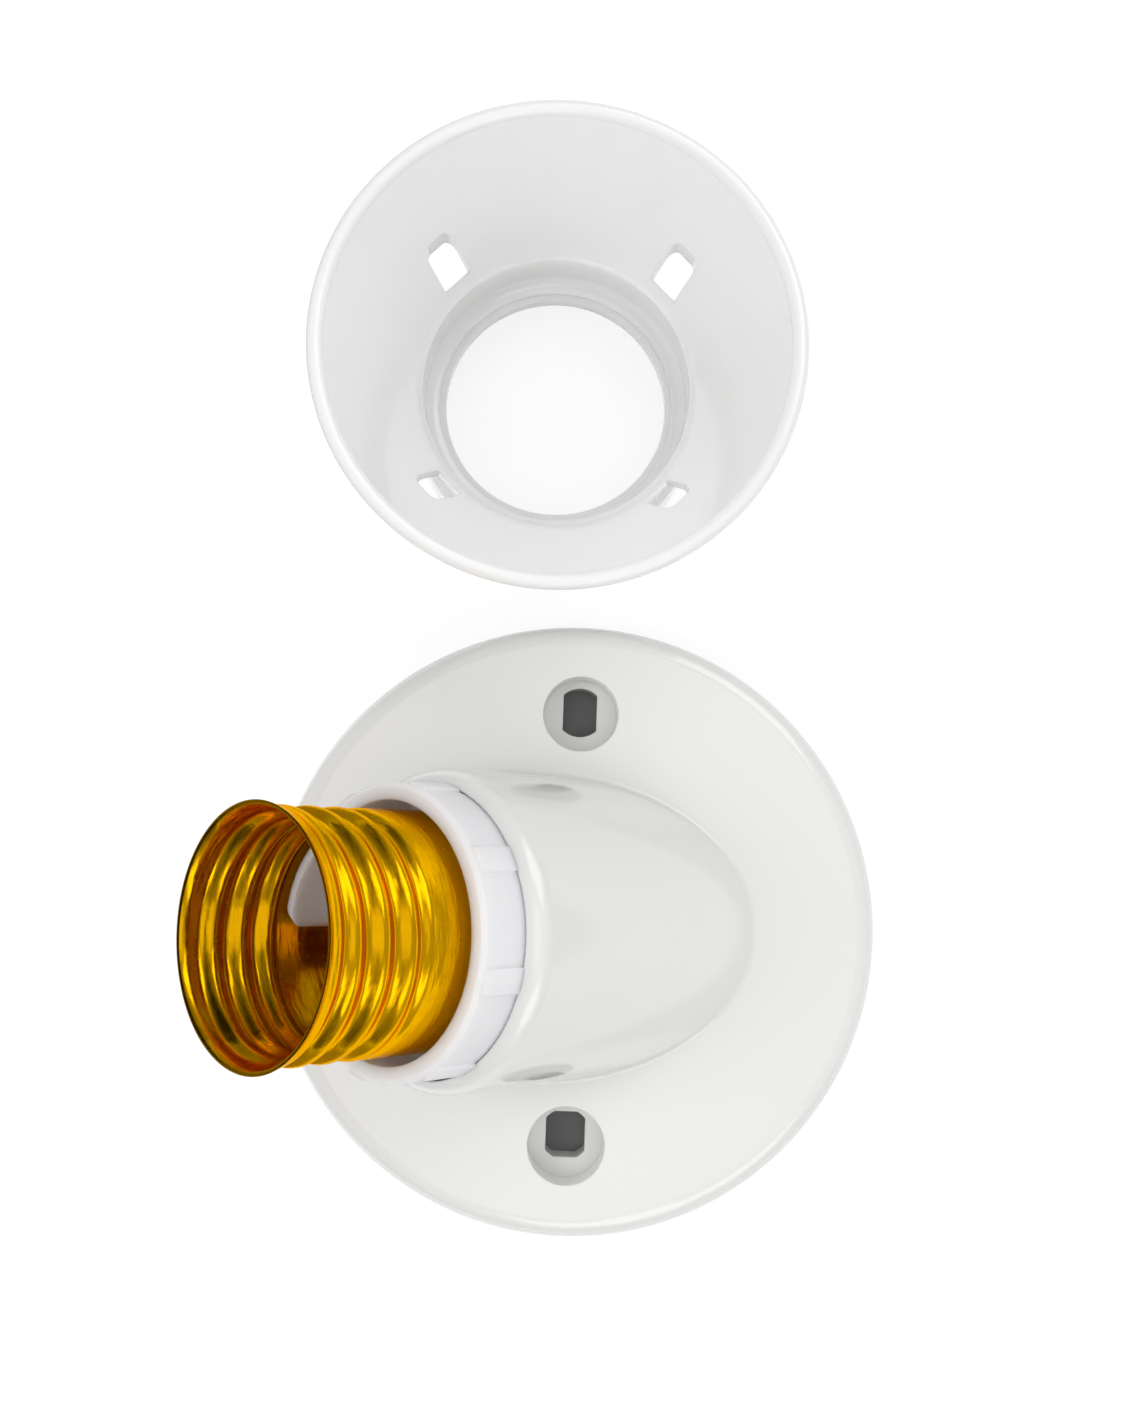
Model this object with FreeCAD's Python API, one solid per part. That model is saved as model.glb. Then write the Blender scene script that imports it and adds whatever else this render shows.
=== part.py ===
import FreeCAD, Part
import math
import os
from FreeCAD import Placement, Rotation, Vector

# Slanted E27 lamp holder for a wall or ceiling, with its slide-on cover cup standing beside it.
# Millimetres. Origin at the centre of the plate's back face, +Z out of the wall, barrel leaning to -X.
# Along the barrel, "height" means the distance from the back plane measured on the barrel's own axis.

# Plate
plate_radius = 38.5
plate_height = 8.0
plate_edge_radius = 2.5
plate_wall = 2.2
plate_rim_width = 2.8
junction_fillet = 0.8

# Wall screw places
screw_spacing = 54.0
recess_radius = 4.8
recess_depth = 4.4
recess_wall = 1.7
slot_offset = 0.5
slot_half_width = 2.2
slot_end_radius = 3.2
lower_slot_half_width = 2.5
lower_slot_half_length = 2.85

# Barrel
lean_deg = 45.0
axis_foot_x = 4.1
barrel_mouth_wall = 1.85
barrel_wall = 2.2
barrel_clearance = 0.556
mouth_rounding = 2.4
mouth_land = 0.1

# Socket insert: the ribbed moulding that carries the contacts
insert_fit = 0.15
insert_wall = 2.0
insert_stand = 6.0
insert_floor = 2.5
insert_skirt = 5.0
front_chamfer = 0.5
rib_count = 8
rib_first_deg = 31.0
rib_height = 0.4
rib_width = 2.9
rib_gap = 0.1
pillar_radius = 3.0
pillar_inset = 3.9
barrier_width = 1.2
barrier_offset = 1.3
barrier_inset = 1.0
guard_gap = 0.15
guard_thickness = 1.1
guard_height = 11.6
guard_start_deg = 108.0
guard_end_deg = 177.0
guard_corner = 1.4

# Ledge in the barrel that the insert sits on
ledge_thickness = 2.2
ledge_width = 3.85
pad_half_width = 3.6
pad_reach = 4.4

# Screw shell, for an E27 cap
shell_stand = 17.7
shell_radius = 13.8
shell_sheet = 0.45
shell_gap = 1.1
shell_length = 24.5
shell_foot_radius = 1.0
shell_flange_width = 1.2
thread_pitch = 3.63
thread_depth = 1.05
thread_grooves = 3
lip_flare = 0.45
lip_length = 1.5
tab_reach = 2.0
tab_half_width = 2.6
tab_rivet_inset = 2.55
tab_angles_deg = (45.0, -45.0)

# Centre contact
contact_sheet = 0.5
contact_width = 3.2
contact_foot_width = 4.6
contact_foot_length = 4.2
contact_guard_gap = 0.6
contact_angle_deg = 190.0
contact_riser = 6.6
contact_rise = 7.4
contact_tip_length = 2.6
contact_tip_drop = 1.1

# Rivets, terminals and their screws
rivet_radius = 1.2
rivet_head_radius = 2.0
rivet_head_height = 0.7
rivet_tail_chamfer = 0.3
rivet_fit = 0.05
terminal_sheet = 1.0
terminal_width = 5.6
live_screw_reach = 2.9
neutral_screw_x = 6.6
neutral_screw_y = 1.6
screw_radius = 1.5
screw_fit = 0.05
screw_tip_room = 0.4
screw_head_radius = 2.8
screw_head_height = 1.8
screw_head_chamfer = 0.3
screw_tip_chamfer = 0.4
screw_slot_width = 0.8
screw_slot_depth = 0.9
wire_gap = 1.3
terminal_screw_tip = 1.0
fixing_screw_bite = 6.0
fixing_hole_play = 0.25

# Cover cup
cup_stand_x = -4.7
cup_gap = 0.3
cup_wall = 1.3
cup_height = 32.6
cup_rim_radius = 28.6
cup_bead_radius = 0.95
cup_bead_under_deg = 37.0
cup_sleeve_height = 5.5
cup_grip_play = 0.05
cup_sleeve_wall = 1.5
cup_hole_play = 0.15
cup_lip_thickness = 1.5
cup_lip_step = 0.6
cup_lip_land = 0.8
cup_neck_cove = 1.65
cup_shoulder_height = 14.4
cup_ledge = 0.6
cup_slot_width = 4.2
cup_slot_length = 3.5
cup_slot_inset = 0.1
cup_slot_corner = 1.2
cup_slot_count = 4

# For construction: how far a joined piece sinks in, how far a cut runs past its face, and a tolerance
overlap = 0.1
overshoot = 1.0
same_place = 1e-4

# Worked out from the sizes above
lean = math.radians(lean_deg)
flange_radius = shell_radius - shell_sheet - shell_flange_width
lip_radius = shell_radius + lip_flare
tab_rivet_radius = flange_radius - tab_rivet_inset
guard_radius = flange_radius - guard_gap
guard_inner_radius = guard_radius - guard_thickness
contact_foot_reach = guard_inner_radius - contact_guard_gap - contact_foot_length / 2
insert_inner = shell_radius + shell_gap
insert_radius = insert_inner + insert_wall
insert_bore = insert_radius + insert_fit
pillar_pitch_radius = insert_inner - pillar_inset
barrel_radius = insert_bore + barrel_mouth_wall
ledge_opening_radius = insert_bore - ledge_width
barrel_height = (plate_height + barrel_clearance + barrel_radius * math.sin(lean)) / math.cos(lean)
insert_front = barrel_height + insert_stand
shell_mouth_height = insert_front + shell_stand
cup_stand_y = plate_radius + cup_gap + cup_rim_radius
floor_top = shell_mouth_height - shell_length
floor_under = floor_top - insert_floor
seat_height = floor_under - insert_skirt
ledge_under = seat_height - ledge_thickness
terminal_under = floor_under - terminal_sheet
far = 4 * plate_radius

UP = Vector(0, 0, 1)
BARREL = Placement(Vector(axis_foot_x, 0, 0), Rotation(Vector(0, 1, 0), -lean_deg))


def along_barrel(shape):
    """Moves a shape made about +Z, with height 0 at the back plane, onto the barrel's axis."""
    placed = shape.copy()
    placed.Placement = BARREL.multiply(placed.Placement)
    return placed


def arc_about(x, z, radius, start_deg, end_deg):
    """The via and end points of an arc about (x, z)."""
    middle = math.radians((start_deg + end_deg) / 2)
    last = math.radians(end_deg)
    via = (x + radius * math.cos(middle), z + radius * math.sin(middle))
    return via, (x + radius * math.cos(last), z + radius * math.sin(last))


def outline(*steps):
    """A closed wire in the XZ plane. A step is a corner (x, z), or (via, end) for an arc."""
    edges = []
    here = Vector(steps[0][0], 0, steps[0][1])
    for step in steps[1:] + (steps[0],):
        if isinstance(step[0], tuple):
            via, end = (Vector(x, 0, z) for x, z in step)
            edges.append(Part.Arc(here, via, end).toShape())
        else:
            end = Vector(step[0], 0, step[1])
            if end.distanceToPoint(here) < same_place:
                continue
            edges.append(Part.LineSegment(here, end).toShape())
        here = end
    return Part.Wire(edges)


def turned(*steps):
    """A solid of revolution about Z from an outline of (radius, height) steps."""
    return Part.Face(outline(*steps)).revolve(Vector(0, 0, 0), UP, 360)


def cylinder(radius, low, high, x=0.0, y=0.0):
    return Part.makeCylinder(radius, high - low, Vector(x, y, low))


def block(x_low, x_high, y_low, y_high, z_low, z_high):
    return Part.makeBox(x_high - x_low, y_high - y_low, z_high - z_low, Vector(x_low, y_low, z_low))


def polar(radius, angle_deg):
    angle = math.radians(angle_deg)
    return radius * math.cos(angle), radius * math.sin(angle)


def spun(shape, angle_deg):
    copy = shape.copy()
    copy.rotate(Vector(0, 0, 0), UP, angle_deg)
    return copy


def plate_blank():
    """The plate before hollowing, with its rounded outer edge."""
    edge = plate_edge_radius
    return turned(
        (0, 0),
        (plate_radius, 0),
        (plate_radius, plate_height - edge),
        arc_about(plate_radius - edge, plate_height - edge, edge, 0, 90),
        (0, plate_height),
    )


def barrel_blank(base_height):
    """The barrel before boring, from base_height up to its rounded mouth."""
    land_radius = insert_bore + mouth_land
    drop = barrel_radius - land_radius
    radius = (drop ** 2 + mouth_rounding ** 2) / (2 * drop)
    sweep = math.degrees(math.asin(mouth_rounding / radius))
    return turned(
        (0, base_height),
        (barrel_radius, base_height),
        (barrel_radius, barrel_height - mouth_rounding),
        arc_about(barrel_radius - radius, barrel_height - mouth_rounding, radius, 0, sweep),
        (0, barrel_height),
    )


def screw_recess_wells():
    """The two wells that carry the wall screws' recesses down to the back face."""
    radius = recess_radius + recess_wall
    upper, lower = (cylinder(radius, 0, plate_height, 0, side * screw_spacing / 2) for side in (1, -1))
    return upper.fuse(lower)


def upper_slot():
    """Double-D hole, long way on the plate's radius."""
    centre = screw_spacing / 2 + slot_offset
    round_hole = cylinder(slot_end_radius, -overshoot, plate_height, 0, centre)
    flats = block(-slot_half_width, slot_half_width, 0, screw_spacing, -overshoot, plate_height)
    return round_hole.common(flats)


def lower_slot():
    """Squarish hole with corners rounded to fit the same screw head."""
    half, length = lower_slot_half_width, lower_slot_half_length
    centre = -screw_spacing / 2 + slot_offset
    square = block(-half, half, centre - length, centre + length, -overshoot, plate_height)
    return square.common(cylinder(slot_end_radius, -overshoot, plate_height, 0, centre))


def housing_hollow():
    """All the air inside the housing: the plate's back, the barrel's bores and the insert's ledge."""
    pocket = cylinder(plate_radius - plate_rim_width, -overshoot, plate_height - plate_wall)
    pocket = pocket.cut(along_barrel(cylinder(barrel_radius, ledge_under, barrel_height)))
    pocket = pocket.cut(screw_recess_wells())
    wide_bore = cylinder(barrel_radius - barrel_wall, -far, ledge_under)
    low, high = ledge_under - overshoot, seat_height + overshoot
    opening = cylinder(ledge_opening_radius, low, high)
    half = pad_half_width
    pad_start = pillar_pitch_radius - pad_reach / 2
    for turn in (0, 180):
        pad = block(-half, half, pad_start, far, ledge_under, seat_height)
        hole = cylinder(screw_radius + fixing_hole_play, low, high, 0, pillar_pitch_radius)
        opening = opening.cut(spun(pad, turn)).fuse(spun(hole, turn))
    bore = cylinder(insert_bore, seat_height, barrel_height + overshoot)
    return pocket.fuse([along_barrel(wide_bore), along_barrel(opening), along_barrel(bore)])


def base_housing():
    """Plate and barrel, moulded in one piece, hollow behind."""
    barrel = along_barrel(barrel_blank(-far)).common(block(-far, far, -far, far, plate_wall, far))
    blank = plate_blank().fuse(barrel).removeSplitter()
    edge = [
        e
        for e in blank.Edges
        if abs(e.BoundBox.ZMin - plate_height) < same_place
        and abs(e.BoundBox.ZMax - plate_height) < same_place
        and e.BoundBox.YMax < plate_radius - 2 * plate_edge_radius
    ]
    blank = blank.makeFillet(junction_fillet, edge)
    housing = blank.cut(housing_hollow())
    for side, slot in ((1, upper_slot()), (-1, lower_slot())):
        floor = plate_height - recess_depth
        recess = cylinder(recess_radius, floor, plate_height + overshoot, 0, side * screw_spacing / 2)
        housing = housing.cut(recess)
        housing = housing.cut(slot)
    return housing


def insert_ribs():
    """Grip ribs on the part of the insert that stands out of the barrel."""
    rib = cylinder(insert_radius + rib_height, barrel_height + rib_gap, insert_front - front_chamfer)
    rib = rib.common(block(0, far, -rib_width / 2, rib_width / 2, 0, far))
    rib = rib.cut(cylinder(insert_radius - insert_wall / 2, 0, far))
    return [spun(rib, rib_first_deg + 360 / rib_count * i) for i in range(rib_count)]


def guard_wall():
    """Curved wall between the centre contact's root and the screw shell, its free corners rounded."""
    top = floor_top + guard_height
    radius = guard_radius
    wall = cylinder(radius, floor_under, top).cut(cylinder(guard_inner_radius, 0, far))
    half = math.radians((guard_end_deg - guard_start_deg) / 2)
    reach = radius * math.sin(half)
    tongue = outline(
        (-reach, floor_under),
        (reach, floor_under),
        (reach, top - guard_corner),
        arc_about(reach - guard_corner, top - guard_corner, guard_corner, 0, 90),
        (-reach + guard_corner, top),
        arc_about(-reach + guard_corner, top - guard_corner, guard_corner, 90, 180),
    )
    tongue = Part.Face(tongue).extrude(Vector(0, -far, 0))
    return spun(wall.common(tongue), (guard_start_deg + guard_end_deg) / 2 + 90)


def socket_insert():
    """Ribbed insulating cup: collar, floor with guard wall, skirt with pillars and a barrier below."""
    body = turned(
        (0, floor_under),
        (insert_inner, floor_under),
        (insert_inner, seat_height),
        (insert_radius, seat_height),
        (insert_radius, insert_front - front_chamfer),
        (insert_radius - front_chamfer, insert_front),
        (insert_inner, insert_front),
        (insert_inner, floor_top),
        (0, floor_top),
    )
    pieces = insert_ribs() + [guard_wall()]
    for side in (1, -1):
        place = side * pillar_pitch_radius
        pieces.append(cylinder(pillar_radius, seat_height, floor_under + overlap, 0, place))
    low = barrier_offset - barrier_width / 2
    barrier = block(low, low + barrier_width, -far, far, seat_height + barrier_inset, floor_under + overlap)
    pieces.append(barrier.common(cylinder(insert_inner + overlap, 0, far)))
    body = body.fuse(pieces)
    low, high = seat_height - overshoot, seat_height + fixing_screw_bite + screw_tip_room
    for side in (1, -1):
        body = body.cut(cylinder(screw_radius + screw_fit, low, high, 0, side * pillar_pitch_radius))
    for x, y in rivet_places().values():
        body = body.cut(cylinder(rivet_radius + rivet_fit, 0, far, x, y))
    for x, y in terminal_screw_places().values():
        top = floor_under + terminal_screw_tip + screw_tip_room
        body = body.cut(cylinder(screw_radius + screw_fit, seat_height, top, x, y))
    return body


def rivet_places():
    places = {"centre_contact_rivet": polar(contact_foot_reach, contact_angle_deg)}
    for name, angle in zip(("shell_rivet_upper", "shell_rivet_lower"), tab_angles_deg):
        places[name] = polar(tab_rivet_radius, angle)
    return places


def terminal_screw_places():
    return {
        "live_terminal_screw": polar(live_screw_reach, contact_angle_deg),
        "neutral_terminal_screw": (neutral_screw_x, neutral_screw_y),
    }


def thread_side(offset):
    """Outline steps of one face of the rolled thread, going up. offset is inwards from the outer face."""
    crest = shell_radius - offset
    middle = crest - thread_depth / 2
    steps = []
    first = shell_mouth_height - lip_length - thread_pitch * (thread_grooves - 0.5)
    for i in range(thread_grooves):
        low = first + thread_pitch * i - thread_pitch / 4
        steps.append((middle, low))
        steps.append(((crest - thread_depth, low + thread_pitch / 4), (middle, low + thread_pitch / 2)))
        if i < thread_grooves - 1:
            steps.append(((crest, low + thread_pitch * 3 / 4), (middle, low + thread_pitch)))
    return steps


def screw_shell():
    """Rolled sheet shell: turned-in flange with two riveting tabs, plain cylinder, thread and flared lip."""
    inner = shell_radius - shell_sheet
    bend = shell_foot_radius
    flange = flange_radius
    start = shell_mouth_height - lip_length - thread_pitch * thread_grooves
    outside = [
        (flange, floor_top),
        (shell_radius - bend, floor_top),
        arc_about(shell_radius - bend, floor_top + bend, bend, -90, 0),
        (shell_radius, start),
        *thread_side(0.0),
        (lip_radius, shell_mouth_height),
    ]
    inside_thread = thread_side(shell_sheet)
    inside = [(lip_radius - shell_sheet, shell_mouth_height)]
    inside += backwards(inside_thread)
    inside += [
        (inner, start),
        (inner, floor_top + bend),
        arc_about(shell_radius - bend, floor_top + bend, bend - shell_sheet, 0, -90),
        (flange, floor_top + shell_sheet),
    ]
    shell = turned(*outside, *inside)
    tab_end = tab_rivet_radius - tab_reach
    tab_top = floor_top + shell_sheet
    tab_root = flange + shell_flange_width / 2
    half = tab_half_width
    tab = block(tab_end + half, tab_root, -half, half, floor_top, tab_top)
    tab = tab.fuse(cylinder(half, floor_top, tab_top, tab_end + half)).removeSplitter()
    tab = tab.cut(cylinder(rivet_radius + rivet_fit, 0, far, tab_rivet_radius))
    for angle in tab_angles_deg:
        shell = shell.fuse(spun(tab, angle))
    return shell.removeSplitter()


def backwards(steps):
    """The same run of outline steps walked the other way."""
    corners = [step[1] if isinstance(step[0], tuple) else step for step in steps]
    result = [corners[-1]]
    for i in range(len(steps) - 1, 0, -1):
        arc = isinstance(steps[i][0], tuple)
        result.append((steps[i][0], corners[i - 1]) if arc else corners[i - 1])
    return result


def centre_contact():
    """Sprung strip: riveted foot, riser, arm over to the middle and a turned-down tip."""
    t = contact_sheet
    foot_in = contact_foot_length / 2 - contact_foot_reach
    foot_out = foot_in - contact_foot_length
    bend = floor_top + contact_riser
    top = floor_top + contact_rise
    crown = contact_tip_length / 2
    tip_top = top - contact_tip_drop
    strip = outline(
        (foot_in, floor_top),
        (foot_out, floor_top),
        (foot_out, bend - t),
        arc_about(foot_out + t, bend - t, t, 180, 90),
        (-crown, top),
        (crown, top),
        (contact_tip_length, tip_top),
        (contact_tip_length, tip_top - t),
        (crown, top - t),
        (-crown, top - t),
        (foot_out + t, bend - t),
        (foot_out + t, floor_top + t),
        (foot_in, floor_top + t),
    )
    arm = Part.Face(strip).extrude(Vector(0, contact_width, 0))
    arm.translate(Vector(0, -contact_width / 2, 0))
    half = contact_foot_width / 2
    foot = block(foot_out, foot_in, -half, half, floor_top, floor_top + t)
    contact = arm.fuse(foot).removeSplitter()
    hole = cylinder(rivet_radius + rivet_fit, 0, floor_top + overshoot, -contact_foot_reach)
    contact = contact.cut(hole)
    return spun(contact, contact_angle_deg - 180)


def rivet(x, y, top, bottom):
    """Rivet with a domed head above and a flattened tail below."""
    head = rivet_head_radius
    dome_radius = (head ** 2 + rivet_head_height ** 2) / (2 * rivet_head_height)
    dome_centre = top + rivet_head_height - dome_radius
    dome_start = math.degrees(math.acos(head / dome_radius))
    body = turned(
        (0, bottom - rivet_head_height),
        (head - rivet_tail_chamfer, bottom - rivet_head_height),
        (head, bottom),
        (rivet_radius, bottom),
        (rivet_radius, top),
        (head, top),
        arc_about(0, dome_centre, dome_radius, dome_start, 90),
    )
    body.translate(Vector(x, y, 0))
    return body


def slotted_screw(x, y, head_top, tip):
    """Cheese-head screw whose head faces down the barrel: head_top is where the head meets its work."""
    head_low = head_top - screw_head_height
    body = turned(
        (0, head_low),
        (screw_head_radius - screw_head_chamfer, head_low),
        (screw_head_radius, head_low + screw_head_chamfer),
        (screw_head_radius, head_top),
        (screw_radius, head_top),
        (screw_radius, tip - screw_tip_chamfer),
        (screw_radius - screw_tip_chamfer, tip),
        (0, tip),
    )
    half = screw_slot_width / 2
    slot = block(-far, far, -half, half, head_low - overshoot, head_low + screw_slot_depth)
    body = body.cut(slot)
    body.translate(Vector(x, y, 0))
    return body


def terminal(start, end):
    """Flat brass strap under the floor, round-ended, from a rivet to a tapped terminal screw."""
    (x1, y1), (x2, y2) = start, end
    half = terminal_width / 2
    length = math.hypot(x2 - x1, y2 - y1)
    strap = block(0, length, -half, half, terminal_under, floor_under)
    strap = strap.fuse([cylinder(half, terminal_under, floor_under, x) for x in (0, length)])
    strap = strap.removeSplitter()
    strap = spun(strap, math.degrees(math.atan2(y2 - y1, x2 - x1)))
    strap.translate(Vector(x1, y1, 0))
    strap = strap.cut(cylinder(rivet_radius + rivet_fit, 0, far, x1, y1))
    return strap.cut(cylinder(screw_radius + screw_fit, 0, far, x2, y2))


def barrel_pieces():
    """Every piece that sits on the barrel's axis, still upright."""
    rivets = rivet_places()
    screws = terminal_screw_places()
    live_rivet = rivets["centre_contact_rivet"]
    neutral_rivet = rivets["shell_rivet_lower"]
    pieces = {
        "socket_insert": socket_insert(),
        "screw_shell": screw_shell(),
        "centre_contact": centre_contact(),
        "centre_contact_rivet": rivet(*live_rivet, floor_top + contact_sheet, terminal_under),
        "shell_rivet_upper": rivet(*rivets["shell_rivet_upper"], floor_top + shell_sheet, floor_under),
        "shell_rivet_lower": rivet(*neutral_rivet, floor_top + shell_sheet, terminal_under),
        "live_terminal": terminal(live_rivet, screws["live_terminal_screw"]),
        "neutral_terminal": terminal(neutral_rivet, screws["neutral_terminal_screw"]),
    }
    for name, (x, y) in screws.items():
        pieces[name] = slotted_screw(x, y, terminal_under - wire_gap, floor_under + terminal_screw_tip)
    fixing_tip = seat_height + fixing_screw_bite
    for name, side in (("insert_screw_upper", 1), ("insert_screw_lower", -1)):
        pieces[name] = slotted_screw(0, side * pillar_pitch_radius, ledge_under, fixing_tip)
    return pieces


def cup_slots(inner_radius, low):
    """Openings in the cone above low, cut straight along the draw direction, outer corners rounded."""
    outer = inner_radius + cup_slot_length
    half = cup_slot_width / 2
    corner = cup_slot_corner
    plan = outline(
        (inner_radius, -half),
        (outer - corner, -half),
        arc_about(outer - corner, -half + corner, corner, -90, 0),
        (outer, half - corner),
        arc_about(outer - corner, half - corner, corner, 0, 90),
        (inner_radius, half),
    )
    slot = Part.Face(plan).extrude(Vector(0, -cup_height, 0))
    slot.rotate(Vector(0, 0, 0), Vector(1, 0, 0), -90)
    slot.translate(Vector(0, 0, low))
    step = 360 / cup_slot_count
    return [spun(slot, step * (i + 0.5)) for i in range(cup_slot_count)]


def cover_cup():
    """Slide-on cover: grip sleeve, lip that stops on the insert's front, neck, cone and beaded rim."""
    grip = insert_radius + rib_height + cup_grip_play
    sleeve = grip + cup_sleeve_wall
    hole = lip_radius + cup_hole_play
    lip_top = cup_sleeve_height + cup_lip_thickness
    floor_edge = hole + cup_lip_land
    neck = floor_edge + cup_neck_cove
    neck_outer = neck + cup_wall
    cone_foot = neck + cup_ledge
    bead_x = cup_rim_radius - cup_bead_radius
    bead_z = cup_height - cup_bead_radius
    under = math.radians(cup_bead_under_deg)
    bead_foot = bead_z - cup_bead_radius * math.sin(under)
    shoulder_under = cup_shoulder_height - cup_wall
    cove = cup_neck_cove
    cup = turned(
        (grip, 0),
        (sleeve, 0),
        (sleeve, lip_top),
        (neck_outer, lip_top + (sleeve - neck_outer)),
        (neck_outer, shoulder_under),
        (bead_x - cup_bead_radius + cup_wall, bead_foot),
        (bead_x + cup_bead_radius * math.cos(under), bead_foot),
        arc_about(bead_x, bead_z, cup_bead_radius, -cup_bead_under_deg, 180),
        (cone_foot, cup_shoulder_height),
        (neck, cup_shoulder_height),
        (neck, lip_top + cup_lip_step + cove),
        arc_about(floor_edge, lip_top + cup_lip_step + cove, cove, 0, -90),
        (floor_edge, lip_top),
        (hole, lip_top),
        (hole, cup_sleeve_height),
        (grip, cup_sleeve_height),
    )
    for slot in cup_slots(neck_outer + cup_slot_inset, shoulder_under):
        cup = cup.cut(slot)
    cup.translate(Vector(cup_stand_x, cup_stand_y, 0))
    return cup


def main():
    os.makedirs("parts", exist_ok=True)
    pieces = {"base_housing": base_housing(), "cover_cup": cover_cup()}
    pieces.update({name: along_barrel(shape) for name, shape in barrel_pieces().items()})
    for name, shape in pieces.items():
        shape.exportStep(f"parts/{name}.step")
        print(f"{name}: {len(shape.Solids)} solid, {shape.Volume:.1f} mm3, valid {shape.isValid()}")


main()
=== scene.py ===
import math

import bmesh
import bpy
from mathutils import Matrix, Vector


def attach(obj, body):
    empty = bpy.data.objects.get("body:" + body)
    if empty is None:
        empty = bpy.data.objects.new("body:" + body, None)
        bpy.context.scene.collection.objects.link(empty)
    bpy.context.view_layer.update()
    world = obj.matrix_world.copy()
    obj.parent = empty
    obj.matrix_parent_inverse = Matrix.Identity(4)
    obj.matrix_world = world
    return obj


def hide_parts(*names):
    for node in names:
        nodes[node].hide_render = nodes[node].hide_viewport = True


mm = 0.001  # the scene is in metres, the sizes below are in millimetres

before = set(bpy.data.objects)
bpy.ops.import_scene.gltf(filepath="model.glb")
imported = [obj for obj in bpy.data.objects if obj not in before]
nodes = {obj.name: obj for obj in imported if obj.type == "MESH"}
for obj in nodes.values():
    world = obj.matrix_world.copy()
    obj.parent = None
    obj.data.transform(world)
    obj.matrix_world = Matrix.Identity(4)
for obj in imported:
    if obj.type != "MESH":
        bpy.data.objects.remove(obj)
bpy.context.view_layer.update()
print("frame loaded")


def linear(hexColour):
    parts = [int(hexColour[i:i + 2], 16) / 255 for i in (1, 3, 5)]
    curve = [c / 12.92 if c <= 0.04045 else ((c + 0.055) / 1.055) ** 2.4 for c in parts]
    return (*curve, 1.0)


def addNode(tree, kind, values=None, links=None, **settings):
    node = tree.nodes.new(kind)
    for name, value in settings.items():
        setattr(node, name, value)
    for name, value in (values or {}).items():
        node.inputs[name].default_value = value
    for name, source in (links or {}).items():
        tree.links.new(source, node.inputs[name])
    return node


def newMaterial(name):
    material = bpy.data.materials.new(name)
    material.use_nodes = True
    tree = material.node_tree
    tree.nodes.clear()
    output = addNode(tree, "ShaderNodeOutputMaterial")
    return material, tree, output


def dress(names, material):
    for name in names:
        skin = nodes[name].data.materials
        skin.clear()
        skin.append(material)


# Noise, edge, gloss and glow numbers that the plastics and metals below draw on.
texture = dict(
    low=0.3, high=0.7, broadDetail=2.0, cloudDetail=3.0, grainDetail=4.0, glossiest=0.9, dullest=1.12,
    edgeSamples=6, redToBlue=(1.0, 0.9, 0.8))


def mouldedPlastic(name, spec):
    # A slow ripple left by the mould, rippleSize mm long, and clouds of slightly duller gloss.
    material, tree, output = newMaterial(name)
    place = addNode(tree, "ShaderNodeTexCoord").outputs["Object"]
    broad = addNode(
        tree, "ShaderNodeTexNoise",
        {"Scale": 1 / (spec["rippleSize"] * mm), "Detail": texture["broadDetail"]},
        {"Vector": place})
    cloud = addNode(
        tree, "ShaderNodeTexNoise",
        {"Scale": 1 / (spec["cloudSize"] * mm), "Detail": texture["cloudDetail"]},
        {"Vector": place})
    rough = addNode(
        tree, "ShaderNodeMapRange",
        {"From Min": texture["low"], "From Max": texture["high"],
         "To Min": spec["roughness"] * texture["glossiest"],
         "To Max": spec["roughness"] * texture["dullest"]},
        {"Value": cloud.outputs["Fac"]})
    rounded = addNode(
        tree, "ShaderNodeBevel", {"Radius": spec["edge"] * mm}, samples=texture["edgeSamples"])
    bump = addNode(
        tree, "ShaderNodeBump", {"Strength": 1.0, "Distance": spec["ripple"] * mm},
        {"Height": broad.outputs["Fac"], "Normal": rounded.outputs["Normal"]})
    surface = addNode(
        tree, "ShaderNodeBsdfPrincipled",
        {"Base Color": linear(spec["colour"]), "IOR": spec["ior"], "Coat Weight": spec["coat"],
         "Coat Roughness": spec["coatRoughness"], "Coat IOR": spec["ior"],
         "Subsurface Weight": spec["glow"], "Subsurface Scale": spec["glowDepth"] * mm,
         "Subsurface Radius": texture["redToBlue"]},
        {"Roughness": rough.outputs["Result"], "Normal": bump.outputs["Normal"]})
    tree.links.new(surface.outputs["BSDF"], output.inputs["Surface"])
    return material


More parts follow.
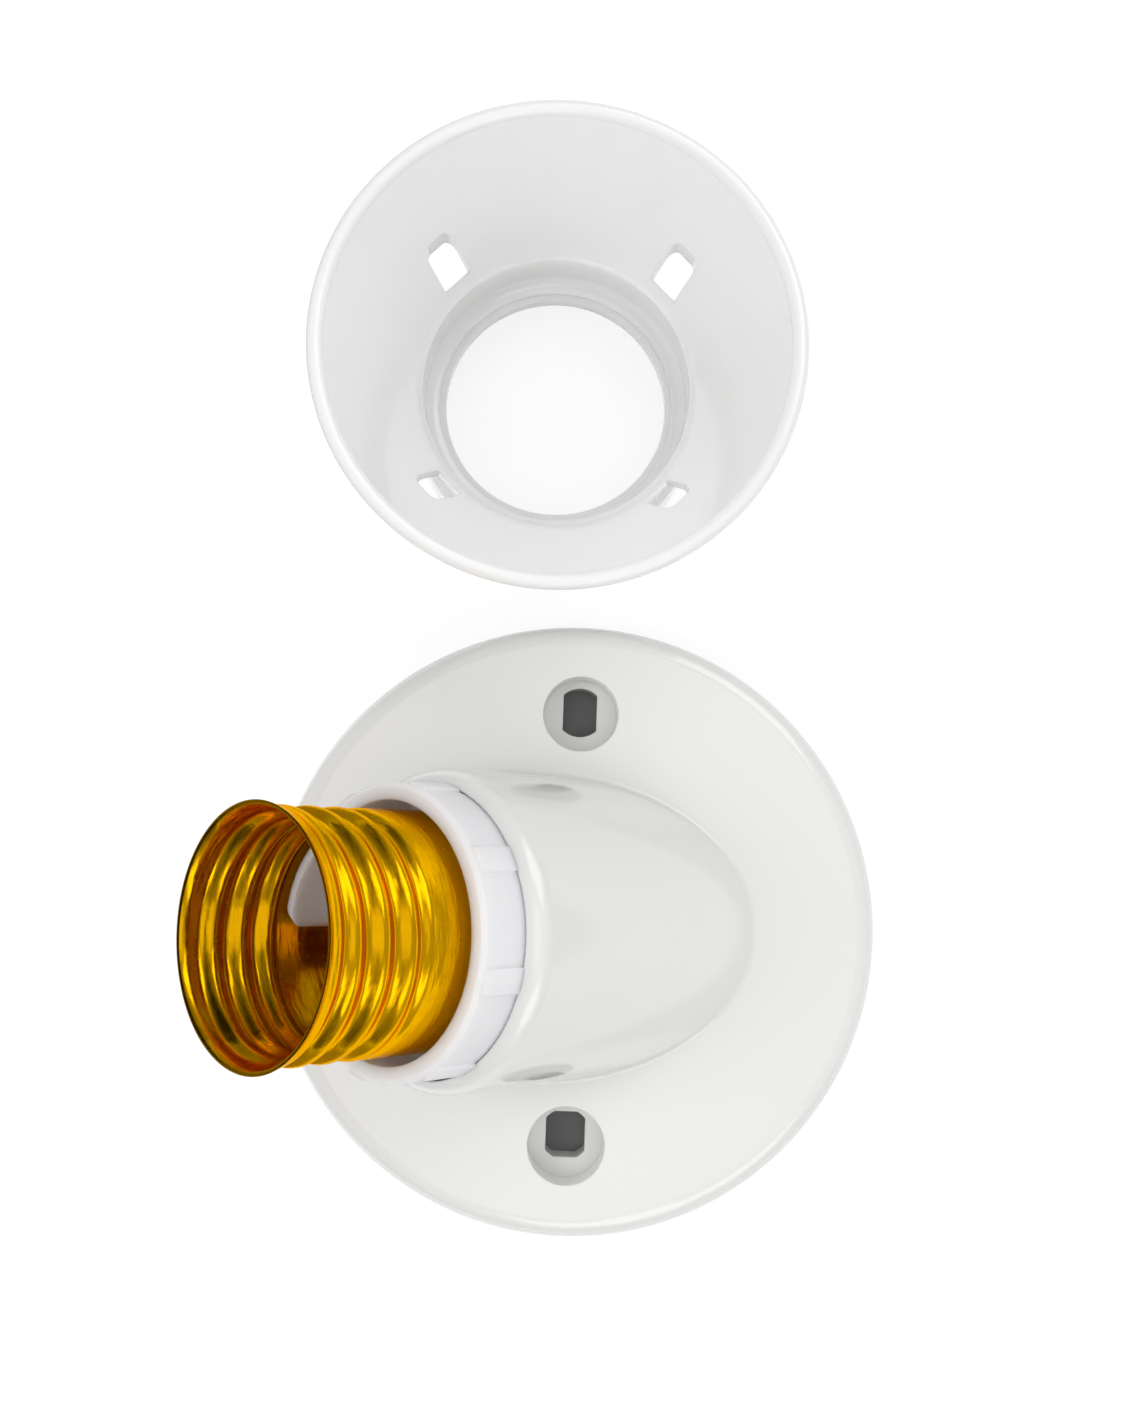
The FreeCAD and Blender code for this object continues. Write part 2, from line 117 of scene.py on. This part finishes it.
def workedMetal(name, spec):
    # Grain makes the gloss uneven. On the shell, long shallow waves run round the barrel from the rolls.
    # The real grain is near 0.1 mm, too fine to show, so it is drawn about ten times as coarse.
    material, tree, output = newMaterial(name)
    place = addNode(tree, "ShaderNodeTexCoord").outputs["Object"]
    grain = addNode(
        tree, "ShaderNodeTexNoise",
        {"Scale": 1 / (spec["grainSize"] * mm), "Detail": texture["grainDetail"]},
        {"Vector": place})
    rough = addNode(
        tree, "ShaderNodeMapRange",
        {"From Min": texture["low"], "From Max": texture["high"],
         "To Min": spec["roughness"] - spec["streak"] / 2,
         "To Max": spec["roughness"] + spec["streak"]},
        {"Value": grain.outputs["Fac"]})
    rounded = addNode(
        tree, "ShaderNodeBevel", {"Radius": spec["edge"] * mm}, samples=texture["edgeSamples"])
    alongBarrel = addNode(
        tree, "ShaderNodeMapping",
        {"Rotation": (0.0, math.radians(-barrel["lean"]), 0.0), "Scale": (1.0, 1.0, spec["squash"])},
        {"Vector": place}, vector_type="TEXTURE")
    wave = addNode(
        tree, "ShaderNodeTexNoise",
        {"Scale": 1 / (spec["waveSize"] * mm), "Detail": texture["broadDetail"]},
        {"Vector": alongBarrel.outputs["Vector"]})
    waved = addNode(
        tree, "ShaderNodeBump", {"Strength": 1.0, "Distance": spec["wave"] * mm},
        {"Height": wave.outputs["Fac"], "Normal": rounded.outputs["Normal"]})
    bump = addNode(
        tree, "ShaderNodeBump", {"Strength": 1.0, "Distance": spec["grain"] * mm},
        {"Height": grain.outputs["Fac"], "Normal": waved.outputs["Normal"]})
    surface = addNode(
        tree, "ShaderNodeBsdfPrincipled",
        {"Base Color": linear(spec["colour"]), "Metallic": 1.0,
         "Specular Tint": linear(spec["grazing"])},
        {"Roughness": rough.outputs["Result"], "Normal": bump.outputs["Normal"]})
    tree.links.new(surface.outputs["BSDF"], output.inputs["Surface"])
    return material


barrel = dict(footX=4.1, lean=45.0)  # where the barrel's axis meets the wall, and its angle from square

# Urea resin, compression moulded: a hard clear gloss, a touch warm, soft over the big curves.
housingPlastic = dict(
    colour="#E7E7E5", ior=1.54, roughness=0.16, coat=0.7, coatRoughness=0.04, ripple=0.02,
    rippleSize=9.0, cloudSize=14.0, edge=0.35, glow=0.0, glowDepth=1.0)
dress(["base_housing"], mouldedPlastic("compression moulded white urea", housingPlastic))

# Polypropylene, injection moulded: the gloss is softer, and light soaks through the thin wall.
cupPlastic = dict(
    colour="#EDEDED", ior=1.5, roughness=0.2, coat=0.6, coatRoughness=0.05, ripple=0.01,
    rippleSize=7.0, cloudSize=14.0, edge=0.2, glow=0.6, glowDepth=2.0)
dress(["cover_cup"], mouldedPlastic("injection moulded polypropylene", cupPlastic))

# Polyamide, injection moulded: satin, cooler than the housing, and it glows where brass lights it.
insertPlastic = dict(
    colour="#F4F3F6", ior=1.53, roughness=0.42, coat=0.0, coatRoughness=0.2, ripple=0.02,
    rippleSize=1.2, cloudSize=14.0, edge=0.15, glow=0.9, glowDepth=3.0)
dress(["socket_insert"], mouldedPlastic("injection moulded polyamide", insertPlastic))
print("plastics set")

# Brass strip, stamped and left bare: paler yellow, plain and a little dull.
stripBrass = dict(
    colour="#E3B04A", grazing="#FFF2D8", roughness=0.22, grain=0.02, grainSize=1.1, streak=0.05,
    edge=0.06, wave=0.0, waveSize=4.0, squash=1.0)
dress(
    ["centre_contact", "centre_contact_rivet", "shell_rivet_upper", "shell_rivet_lower",
     "live_terminal", "neutral_terminal"],
    workedMetal("stamped brass strip", stripBrass))

# Steel screws, zinc plated: bluish grey with a fine even grain.
screwSteel = dict(
    colour="#C9CCD0", grazing="#FFFFFF", roughness=0.26, grain=0.02, grainSize=1.1, streak=0.05,
    edge=0.05, wave=0.0, waveSize=4.0, squash=1.0)
dress(
    ["live_terminal_screw", "neutral_terminal_screw", "insert_screw_upper", "insert_screw_lower"],
    workedMetal("zinc plated steel", screwSteel))

# Brass sheet, drawn, thread-rolled and gold lacquered: deep gold to its edges, streaked round the turns.
shellBrass = dict(
    colour="#EBAE06", grazing="#FFD884", roughness=0.2, grain=0.012, grainSize=1.1, streak=0.08,
    edge=0.08, wave=0.12, waveSize=6.0, squash=0.18)
gold = workedMetal("drawn lacquered brass sheet", shellBrass)
dress(["screw_shell"], gold)
print("metals set")

shell = dict(
    join=38.0, mouth=54.7, radius=13.8, depth=1.05, pitch=3.63, sheet=0.45, threadStart=41.2,
    threadEnd=53.4, fade=1.9, lipRadius=14.25, lipLength=1.1, lipRound=0.07, steps=120,
    heightStep=0.16, sharpAngle=50.0, weld=0.002, edgeInside=0.72, edgeOutside=0.28)


def barrelFrame():
    return Matrix.Translation((barrel["footX"] * mm, 0, 0)) @ Matrix.Rotation(
        math.radians(-barrel["lean"]), 4, "Y")


def threadDepth(height, turn):
    inside = min(
        1.0,
        max(0.0, (height - shell["threadStart"]) / shell["fade"]),
        max(0.0, (shell["threadEnd"] - height) / shell["fade"]))
    ease = inside * inside * (3 - 2 * inside)
    wave = 0.5 - 0.5 * math.cos(2 * math.pi * (height / shell["pitch"] - turn))
    return shell["depth"] * wave * ease


def shellRadius(height, turn):
    radius = shell["radius"] - threadDepth(height, turn)
    lip = (height - (shell["mouth"] - shell["lipLength"])) / shell["lipLength"]
    if lip > 0:
        radius += (shell["lipRadius"] - shell["radius"]) * lip * lip
    return radius


def helicalShell(lower):
    # The foot keeps the solid's own mesh; above the join one sheet climbs inside and returns outside.
    work = bmesh.new()
    work.from_mesh(lower.data)
    bmesh.ops.transform(work, matrix=barrelFrame().inverted(), verts=work.verts)
    bmesh.ops.remove_doubles(work, verts=work.verts, dist=shell["weld"] * mm)
    bmesh.ops.bisect_plane(
        work, geom=work.verts[:] + work.edges[:] + work.faces[:],
        plane_co=(0, 0, shell["join"] * mm), plane_no=(0, 0, 1), clear_outer=True)
    steps, join, mouth = shell["steps"], shell["join"], shell["mouth"]
    count = int((mouth - join) / shell["heightStep"])
    climb = [join + (mouth - join) * i / count for i in range(count)]
    path = [(height, shell["sheet"]) for height in climb]
    path.append((mouth - shell["lipRound"], shell["sheet"]))
    path += [(mouth, shell["sheet"] * shell[edge]) for edge in ("edgeInside", "edgeOutside")]
    path += [(mouth - shell["lipRound"], 0.0)] + [(height, 0.0) for height in reversed(climb)]
    rings = []
    for height, inset in path:
        ring = []
        for k in range(steps):
            turn = k / steps
            angle = 2 * math.pi * turn
            radius = shellRadius(height, turn) - inset
            ring.append(work.verts.new(Vector((
                radius * math.cos(angle), radius * math.sin(angle), height)) * mm))
        rings.append(ring)
    for low, high in zip(rings, rings[1:]):
        for k in range(steps):
            n = (k + 1) % steps
            work.faces.new((low[k], high[k], high[n], low[n]))
    bmesh.ops.transform(work, matrix=barrelFrame(), verts=work.verts)
    mesh = bpy.data.meshes.new("helicalShell")
    work.to_mesh(mesh)
    work.free()
    mesh.shade_smooth()
    mesh.set_sharp_from_angle(angle=math.radians(shell["sharpAngle"]))
    mesh.materials.append(gold)
    wound = bpy.data.objects.new("helicalShell", mesh)
    bpy.context.scene.collection.objects.link(wound)
    return wound


wound = helicalShell(nodes["screw_shell"])
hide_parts("screw_shell")
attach(wound, "root")
print("helical shell wound")

lamps = dict(
    key=dict(place=(150, 275, 330), aim=(0, 20, 0), size=(320, 250), power=0.4, mirrored=True),
    mouth=dict(place=(-205, -10, 215), aim=(-25, -5, 25), size=(140, 180), power=0.265, mirrored=False),
    right=dict(place=(340, -60, 160), aim=(0, 10, 10), size=(130, 200), power=0.14, mirrored=False),
    low=dict(place=(110, -290, 310), aim=(0, 0, 0), size=(300, 170), power=0.25, mirrored=True))


def areaLamp(name, spec):
    light = bpy.data.lights.new(name, "AREA")
    light.shape = "RECTANGLE"
    light.size, light.size_y = (side * mm for side in spec["size"])
    light.energy = spec["power"]
    lamp = bpy.data.objects.new(name, light)
    place = Vector(spec["place"]) * mm
    lamp.location = place
    lamp.rotation_euler = (Vector(spec["aim"]) * mm - place).to_track_quat("-Z", "Y").to_euler()
    lamp.visible_glossy = spec["mirrored"]
    bpy.context.scene.collection.objects.link(lamp)


for name, spec in lamps.items():
    areaLamp(name, spec)
print("lamps hung")

sky = dict(glow=0.64, white=1.0)


def seenRays(tree):
    # One for rays from the eye, a mirror or glass, and nothing for rays that gather light.
    ray = addNode(tree, "ShaderNodeLightPath")
    mirrored = addNode(
        tree, "ShaderNodeMath", {},
        {0: ray.outputs["Is Glossy Ray"], 1: ray.outputs["Is Transmission Ray"]},
        operation="MAXIMUM")
    return addNode(
        tree, "ShaderNodeMath", {}, {0: ray.outputs["Is Camera Ray"], 1: mirrored.outputs[0]},
        operation="MAXIMUM").outputs[0]


def setWorld():
    world = bpy.data.worlds.new("studio")
    bpy.context.scene.world = world
    world.use_nodes = True
    tree = world.node_tree
    tree.nodes.clear()
    output = addNode(tree, "ShaderNodeOutputWorld")
    glow, white = (
        addNode(tree, "ShaderNodeBackground", {"Color": (1, 1, 1, 1), "Strength": sky[part]})
        for part in ("glow", "white"))
    mixed = addNode(
        tree, "ShaderNodeMixShader", {},
        {0: seenRays(tree), 1: glow.outputs[0], 2: white.outputs[0]})
    tree.links.new(mixed.outputs[0], output.inputs["Surface"])


setWorld()

# Beneath the plate the paper is painted darker grey: painted shade on top of the real shade there.
floor = dict(
    half=900.0, drop=0.2, light=0.45, glow=0.8, farGlow=1.0, near=160.0, far=500.0, shadow=0.25,
    paintedShadeUnder=0.23, paintedShadeInner=36.5, paintedShadeOuter=37.5)


def paperFloor():
    # White where it is seen, with a faint shadow. Beneath the plate's own footprint the paper is plain
    # shaded paper, painted a darker grey: painted shade deepening the real shade seen through the slots.
    material, tree, output = newMaterial("matt white paper")
    place = addNode(tree, "ShaderNodeNewGeometry").outputs["Position"]
    reach = addNode(tree, "ShaderNodeVectorMath", {}, {0: place}, operation="LENGTH")
    beside = addNode(
        tree, "ShaderNodeMapRange",
        {"From Min": floor["paintedShadeInner"] * mm, "From Max": floor["paintedShadeOuter"] * mm,
         "To Min": 0.0, "To Max": 1.0},
        {"Value": reach.outputs["Value"]})
    # The first of these is the paper painted darker grey beneath the plate: painted shade.
    paintedShadeUnder, lighting, faint = (
        addNode(tree, "ShaderNodeBsdfDiffuse", {"Color": (floor[part],) * 3 + (1,)})
        for part in ("paintedShadeUnder", "light", "shadow"))
    brighter = addNode(
        tree, "ShaderNodeMapRange",
        {"From Min": floor["near"] * mm, "From Max": floor["far"] * mm, "To Min": floor["glow"],
         "To Max": floor["farGlow"]},
        {"Value": reach.outputs["Value"]})
    glow = addNode(
        tree, "ShaderNodeEmission", {"Color": (1, 1, 1, 1)}, {"Strength": brighter.outputs["Result"]})
    white = addNode(tree, "ShaderNodeAddShader", {}, {0: glow.outputs[0], 1: faint.outputs[0]})
    outside = addNode(
        tree, "ShaderNodeMixShader", {},
        {0: seenRays(tree), 1: lighting.outputs[0], 2: white.outputs[0]})
    surface = addNode(
        tree, "ShaderNodeMixShader", {},
        {0: beside.outputs["Result"], 1: paintedShadeUnder.outputs[0], 2: outside.outputs[0]})
    tree.links.new(surface.outputs[0], output.inputs["Surface"])
    reachOut, depth = floor["half"] * mm, -floor["drop"] * mm
    mesh = bpy.data.meshes.new("paper")
    mesh.from_pydata(
        [(x * reachOut, y * reachOut, depth) for x, y in ((-1, -1), (1, -1), (1, 1), (-1, 1))],
        [], [(0, 1, 2, 3)])
    mesh.materials.append(material)
    paper = bpy.data.objects.new("paper", mesh)
    bpy.context.scene.collection.objects.link(paper)


paperFloor()

# The tent and the card glow and are seen only in mirrors: painted reflections, and painted shade in the
# floor's reflection.
tent = dict(
    radius=700.0, opening=665.0, left=-420.0, right=160.0, dark=0.015, pale=0.5, segments=48)
card = dict(far=-560.0, near=-46.0, half=320.0, height=0.6)


def mirroredAlone(name, mesh, material):
    mesh.materials.append(material)
    thing = bpy.data.objects.new(name, mesh)
    bpy.context.scene.collection.objects.link(thing)
    for rays in ("camera", "diffuse", "transmission", "shadow", "volume_scatter"):
        setattr(thing, "visible_" + rays, False)


def paintedReflectionDome():
    # Painted reflection: a glowing grey dome round the set, open above, darker to the left, seen only by
    # mirror rays; bright metal mirrors it in bands.
    material, tree, output = newMaterial("painted reflection glow")
    place = addNode(tree, "ShaderNodeNewGeometry").outputs["Position"]
    across = addNode(tree, "ShaderNodeSeparateXYZ", {}, {0: place}).outputs["X"]
    tone = addNode(
        tree, "ShaderNodeMapRange",
        {"From Min": tent["left"] * mm, "From Max": tent["right"] * mm, "To Min": tent["dark"],
         "To Max": tent["pale"]},
        {"Value": across}, interpolation_type="SMOOTHSTEP")
    shade = addNode(
        tree, "ShaderNodeEmission", {"Color": (1, 1, 1, 1)}, {"Strength": tone.outputs["Result"]})
    tree.links.new(shade.outputs[0], output.inputs["Surface"])
    work = bmesh.new()
    bmesh.ops.create_uvsphere(
        work, u_segments=tent["segments"], v_segments=tent["segments"], radius=tent["radius"] * mm)
    for height, side in ((0.0, -1), (tent["opening"], 1)):
        bmesh.ops.bisect_plane(
            work, geom=work.verts[:] + work.edges[:] + work.faces[:],
            plane_co=(0, 0, height * mm), plane_no=(0, 0, side), clear_outer=True)
    cloth = bpy.data.meshes.new("paintedReflectionDome")
    work.to_mesh(cloth)
    work.free()
    mirroredAlone("paintedReflectionDome", cloth, material)
    # A card on the floor, seen only by mirror rays, paints shade into the floor's reflection.
    flat = bpy.data.meshes.new("paintedShadeCard")
    flat.from_pydata(
        [(x * mm, y * card["half"] * mm, card["height"] * mm)
         for x, y in ((card["far"], -1), (card["near"], -1), (card["near"], 1), (card["far"], 1))],
        [], [(0, 1, 2, 3)])
    mirroredAlone("paintedShadeCard", flat, material)


paintedReflectionDome()
print("paper and tent set up")

camera = dict(
    place=(-4.93, 12.20, 183.74), aim=(-2.50, 29.31, 0.0), roll=2.08, lens=35.36, sensor=36.0,
    nearest=10.0)


def setCamera():
    lens = bpy.data.cameras.new("camera")
    lens.lens = camera["lens"]
    lens.sensor_width = camera["sensor"]
    lens.clip_start = camera["nearest"] * mm
    view = bpy.data.objects.new("camera", lens)
    place = Vector(camera["place"]) * mm
    forward = (Vector(camera["aim"]) * mm - place).normalized()
    side = forward.cross(Vector((0, 1, 0))).normalized()
    up = side.cross(forward)
    roll = math.radians(camera["roll"])
    right = side * math.cos(roll) + up * math.sin(roll)
    turn = Matrix((right, right.cross(forward), -forward)).transposed().to_4x4()
    view.matrix_world = Matrix.Translation(place) @ turn
    bpy.context.scene.collection.objects.link(view)
    bpy.context.scene.camera = view


setCamera()
bpy.context.scene.view_settings.view_transform = "Standard"
print("camera set")
